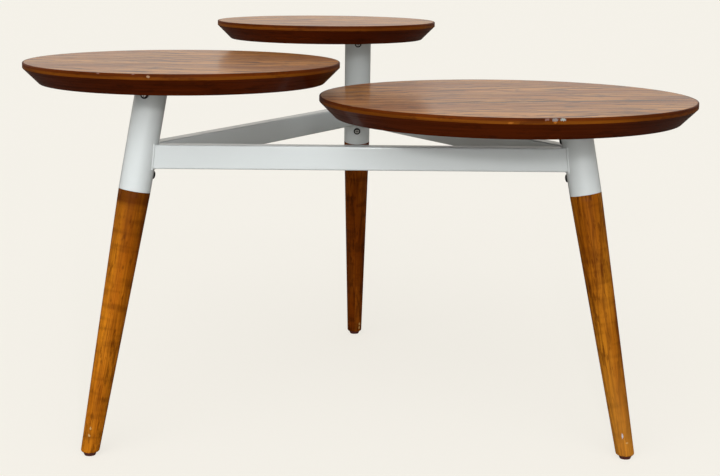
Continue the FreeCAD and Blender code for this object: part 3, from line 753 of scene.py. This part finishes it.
# %% Outlines and meshes
def arc(centre, radius, start, end, steps, zone=0):
    """Points of a round corner, angles in degrees."""
    points = []
    for step in range(steps + 1):
        angle = math.radians(start + (end - start) * step / steps)
        points.append((centre[0] + radius * math.cos(angle), centre[1] + radius * math.sin(angle), zone))
    return points


def distinct(corners):
    """Corners of a strip's face without the ones that fall together at the middle."""
    kept = []
    for corner in corners:
        if corner[0] not in [other[0] for other in kept]:
            kept.append(corner)
    return kept


def finished_piece(work, name, materials):
    """Object from a finished bmesh, with its materials in the order of their zones."""
    mesh = bpy.data.meshes.new(name)
    work.to_mesh(mesh)
    work.free()
    for material in materials:
        mesh.materials.append(material)
    piece = bpy.data.objects.new(name, mesh)
    bpy.context.scene.collection.objects.link(piece)
    return piece


def even_shading(piece):
    """Let large flat faces keep their own normals beside small round corners."""
    modifier = piece.modifiers.new("even_shading", "WEIGHTED_NORMAL")
    modifier.keep_sharp = True
    modifier.weight = 100


print("outline tools ready")

# %% [markdown]
# ## Turning a piece
# Tops and tubes are round, so one small lathe serves them. It takes an outline
# and sweeps it round. The zone of a point says which material the strip after
# it takes. Face by face the lathe also writes the flat grain coordinates that
# the wood reads. Level faces take their plain x and y; the others take the way
# round and the way along the outline, so the grain of a solid edge strip runs
# round the disc.

# %% The lathe
ROUND_STEPS = 192
ON_AXIS = 1e-7                                # a smaller radius, in metres, is the axis itself
LEVEL = 1e-9                                  # a smaller rise, in metres, is a level face


def make_ring(work, radius, height, steps):
    """Corner points of one ring, or the single point of a ring on the axis."""
    ring = []
    for step in range(steps if radius > ON_AXIS else 1):
        angle = math.pi / 2 + 2 * math.pi * step / steps
        ring.append(work.verts.new((radius * math.cos(angle), radius * math.sin(angle), height)))
    return ring


def turn_outline(name, outline, materials, steps=ROUND_STEPS, shift=(0.0, 0.0), swing=0.0):
    """Mesh object swept round z. Swing turns the grain of its level faces.

    An outline runs from the axis to the axis, or comes back to its first point.
    """
    work = bmesh.new()
    grain = work.loops.layers.uv.new("grain")
    closed = outline[0][:2] == outline[-1][:2]
    points = outline[:-1] if closed else outline
    rings = [make_ring(work, radius, height, steps) for radius, height, zone in points]
    if closed:
        rings.append(rings[0])
    way = [0.0]
    for first, second in zip(outline, outline[1:]):
        way.append(way[-1] + math.dist(first[:2], second[:2]))
    girth = 2 * math.pi * max(point[0] for point in outline)
    for index, (lower, upper) in enumerate(zip(rings, rings[1:])):
        level = abs(outline[index][1] - outline[index + 1][1]) < LEVEL
        for step in range(steps):
            after = (step + 1) % steps
            corners = distinct([
                (lower[step % len(lower)], step, index),
                (lower[after % len(lower)], step + 1, index),
                (upper[after % len(upper)], step + 1, index + 1),
                (upper[step % len(upper)], step, index + 1)])
            face = work.faces.new([corner[0] for corner in corners])
            face.smooth = True
            face.material_index = outline[index][2]
            for loop, (vertex, place, ring) in zip(face.loops, corners):
                flat = (girth * place / steps, way[ring])
                if level:
                    flat = Matrix.Rotation(-swing, 2) @ vertex.co.xy
                loop[grain].uv = (flat[0] + shift[0], flat[1] + shift[1])
    return finished_piece(work, name, materials)


print("lathe ready")

# %% [markdown]
# ## The tops
# Each top is a disc with a wide bevel underneath, so that from the side only a
# thin edge shows and the top looks light. No real edge is sharp: the upper
# edge has the largest rounding because hands pass over it, and the two lower
# ones are just broken with sandpaper. Those small roundings catch the light as
# a fine line, so they are worth their rings. A support ring close beside each
# rounding keeps the flat part next to it flat.

# %% Tops
UPPER_ROUND = 0.0012
LOWER_ROUND = 0.0008
LOWER_SUPPORT, EDGE_SUPPORT, FACE_SUPPORT = 0.001, 0.0005, 0.0006
SKIN_INSET = 1e-5                             # keeps the finer skin inside the solid
FACE, EDGE, UNDER, ARRIS_HIGHLIGHT = 0, 1, 2, 3         # the zones of a top, in the order of its materials
TOP_WOOD = (FACE_WOOD, EDGE_WOOD, BEVEL_WOOD, ARRIS_HIGHLIGHT_WOOD)
GRAIN_SWING = {"low": 0.192, "mid": -0.10, "high": 0.06}    # radians from X
ARRIS_HEIGHT = 0.0032


def top_outline(radius, thick):
    """Half section of a top, from the middle of its underside to the middle of its face."""
    inner = radius - BEVEL
    bend = LOWER_ROUND * math.tan(math.radians(22.5))
    slant = bend / math.sqrt(2) + LOWER_SUPPORT
    brow = thick - UPPER_ROUND
    outline = [(0, 0, UNDER), (inner * 0.5, 0, UNDER), (inner - bend - LOWER_SUPPORT, 0, UNDER)]
    outline += arc((inner - bend, LOWER_ROUND), LOWER_ROUND, -90, -45, 4, UNDER)
    outline += [(radius - slant, BEVEL - slant, UNDER)]
    # the lower arris and the strip just above it take the painted highlight
    outline += arc((radius - LOWER_ROUND, BEVEL + bend), LOWER_ROUND, -45, 0, 4, ARRIS_HIGHLIGHT)
    outline += [(radius, BEVEL + ARRIS_HEIGHT, EDGE), (radius, brow - EDGE_SUPPORT, EDGE)]
    outline += arc((radius - UPPER_ROUND, brow), UPPER_ROUND, 0, 90, 8, EDGE)
    outline += [(radius - UPPER_ROUND - FACE_SUPPORT, thick, FACE)]
    return outline + [(inner * 0.5, thick, FACE), (0, thick, FACE)]


def make_top(station):
    low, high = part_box("top_" + station)
    outline = top_outline((high.y - low.y) / 2 - SKIN_INSET, high.z - low.z)
    piece = turn_outline(
        "round_top_" + station, outline, TOP_WOOD, shift=top_shift(station), swing=GRAIN_SWING[station])
    piece.data.transform(Matrix.Translation(((low.x + high.x) / 2, (low.y + high.y) / 2, low.z)))
    even_shading(piece)
    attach(piece, "root")
    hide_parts("top_" + station)
    return piece


tops = [make_top(station) for station in STATIONS]
print("tops", [len(piece.data.polygons) for piece in tops])

# %% [markdown]
# ## The tubes
# The tube is a plain length of round steel. Its lower end is cut square and
# deburred, which leaves a fine line of light where the wood begins, and its
# upper end is cut level under the mounting plate. To cut a leaning tube level
# we lift each point of the last ring by its place across the lean.

# %% Tubes
TUBE_WALL = 0.0016
TUBE_STEPS = 96
DEBURR = 0.0005
SUPPORT_LOW, SUPPORT_HIGH = 0.002, 0.03       # rings beside the two ends, measured from them
AT_CUT = 1e-6                                 # closer to the upper cut than this is on it


def tube_span(station):
    """Heights along the axis of the tube's lower end and of its level upper cut."""
    foot_height = AXES[station].translation.z
    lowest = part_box("tube_" + station)[0].z
    start = (lowest + TUBE_RADIUS * math.sin(LEAN) - foot_height) / math.cos(LEAN)
    plate_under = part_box("plate_" + station)[0].z
    return start, (plate_under - foot_height) / math.cos(LEAN)


def make_tube(station):
    start, end = tube_span(station)
    inner = TUBE_RADIUS - TUBE_WALL
    outline = [(inner, end, 0), (inner, start + DEBURR, 0)]
    outline += [(inner + DEBURR, start, 0), (TUBE_RADIUS - DEBURR, start, 0)]
    outline += arc((TUBE_RADIUS - DEBURR, start + DEBURR), DEBURR, -90, 0, 4)[1:]
    outline += [(TUBE_RADIUS, start + SUPPORT_LOW, 0), (TUBE_RADIUS, end - SUPPORT_HIGH, 0)]
    outline += [(TUBE_RADIUS, end, 0), outline[0]]
    piece = turn_outline("leg_tube_" + station, outline, [FRAME_PAINT], steps=TUBE_STEPS)
    for vertex in piece.data.vertices:
        if vertex.co.z > end - AT_CUT:
            vertex.co.z = end + vertex.co.x * math.tan(LEAN)
    piece.data.transform(AXES[station])
    even_shading(piece)
    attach(piece, "root")
    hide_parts("tube_" + station)
    return piece


tubes = [make_tube(station) for station in STATIONS]
print("tubes", [len(piece.data.polygons) for piece in tubes])

# %% [markdown]
# ## The legs
# A leg is turned between centres, so it is round all the way: a tenon that
# hides in the tube, a shoulder flush with the steel, and a straight taper. Its
# foot is sawn level to the floor and the edge is eased by hand. Each line
# down the leg ends where it meets that level cut, then bends under.

# %% Lines down a leg
FOOT_RADIUS = 0.011
FOOT_ROUND = 0.0025
FOOT_RINGS = 5                                # rings round the eased edge
LEG_RINGS = 40
TENON_GAP = 0.0002
SHOULDER_EDGE = 0.0003


def leg_line(angle, start, tenon_top):
    """Points down one side of a leg, from the middle of the tenon's top to the middle of the foot."""
    across, aside = math.cos(angle), math.sin(angle)
    slope = (TUBE_RADIUS - FOOT_RADIUS) / start
    lift = math.tan(LEAN) * across
    tenon = TUBE_RADIUS - TUBE_WALL - TENON_GAP

    def at(height, reach=None):
        if reach is None:
            reach = FOOT_RADIUS + slope * height
        return Vector((reach * across, reach * aside, height))

    line = [Vector((0, 0, tenon_top)), at(tenon_top, tenon), at(start, tenon)]
    line.append(at(start, TUBE_RADIUS - SHOULDER_EDGE))
    first = at(start - SHOULDER_EDGE)
    corner = at(FOOT_RADIUS * lift / (1 - slope * lift))
    upward, inward = (first - corner).normalized(), -corner.normalized()
    half_angle = upward.angle(inward) / 2
    eased = corner + upward * (FOOT_ROUND / math.tan(half_angle))
    inner = corner + inward * (FOOT_ROUND / math.tan(half_angle))
    centre = corner + (upward + inward).normalized() * (FOOT_ROUND / math.sin(half_angle))
    for ring in range(LEG_RINGS + 1):
        line.append(first.lerp(eased, ring / LEG_RINGS))
    outer_ray, under_ray = (eased - centre).normalized(), (inner - centre).normalized()
    for ring in range(1, FOOT_RINGS + 1):
        line.append(centre + outer_ray.slerp(under_ray, ring / FOOT_RINGS) * FOOT_ROUND)
    return line + [inner * 0.5, Vector((0, 0, 0))]


print("points down each line of a leg", len(leg_line(0.0, *tube_span("low"))))

# %% [markdown]
# ## Closing a leg
# The lines stand side by side round the leg, and a strip of faces joins each
# to the next. They all share one point in the middle of the tenon's top and
# one in the middle of the foot. The grain runs down the leg.

# %% Legs
LEG_STEPS = 64


def make_leg(station):
    start = tube_span(station)[0]
    tenon_top = (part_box("leg_" + station)[1].z - AXES[station].translation.z) / math.cos(LEAN)
    tenon_top -= (TUBE_RADIUS - TUBE_WALL - TENON_GAP) * math.tan(LEAN)
    lines = [leg_line(2 * math.pi * step / LEG_STEPS, start, tenon_top) for step in range(LEG_STEPS)]
    work = bmesh.new()
    grain = work.loops.layers.uv.new("grain")
    head, heel = work.verts.new(lines[0][0]), work.verts.new(lines[0][-1])
    rows = [[head, *(work.verts.new(point) for point in line[1:-1]), heel] for line in lines]
    girth = 2 * math.pi * TUBE_RADIUS
    along_start, across_start = leg_shift(station)
    for step, row in enumerate(rows):
        beside = rows[(step + 1) % LEG_STEPS]
        for index in range(len(row) - 1):
            corners = distinct([
                (row[index], step), (row[index + 1], step),
                (beside[index + 1], step + 1), (beside[index], step + 1)])
            face = work.faces.new([vertex for vertex, place in corners])
            face.smooth = True
            for loop, (vertex, place) in zip(face.loops, corners):
                loop[grain].uv = (vertex.co.z + along_start, girth * place / LEG_STEPS + across_start)
    bmesh.ops.recalc_face_normals(work, faces=work.faces)
    piece = finished_piece(work, "turned_leg_" + station, [LEG_WOOD[station]])
    piece.data.transform(AXES[station])
    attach(piece, "root")
    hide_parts("leg_" + station)
    return piece


legs = [make_leg(station) for station in STATIONS]
print("legs", [len(piece.data.polygons) for piece in legs])

# %% [markdown]
# ## Everything else
# The rails, plates, spigots, screws, inserts and glides already have the right
# shape, so they only take their finish.

# %% Finish for the solids that stay
FINISH = {                                    # by how a name starts; the longer start comes first
    "rail_": FRAME_PAINT,
    "weld_": FRAME_PAINT,
    "plate_screws_": ZINC,
    "plate_": FRAME_PAINT,
    "spigot_": FRAME_PAINT,
    "leg_insert_": BRASS,
    "glide_nail_": ZINC,
    "glide_": GLIDE_PLASTIC,
}


def finish_for(node):
    if node.startswith(("lock_screw_", "leg_screw_")):
        return screw_steel(node)
    for start, material in FINISH.items():
        if node.startswith(start):
            return material
    return None


finished = 0
for node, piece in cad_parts.items():
    material = finish_for(node)
    if material:
        piece.data.materials.clear()
        piece.data.materials.append(material)
        finished += 1
print("solids finished", finished)
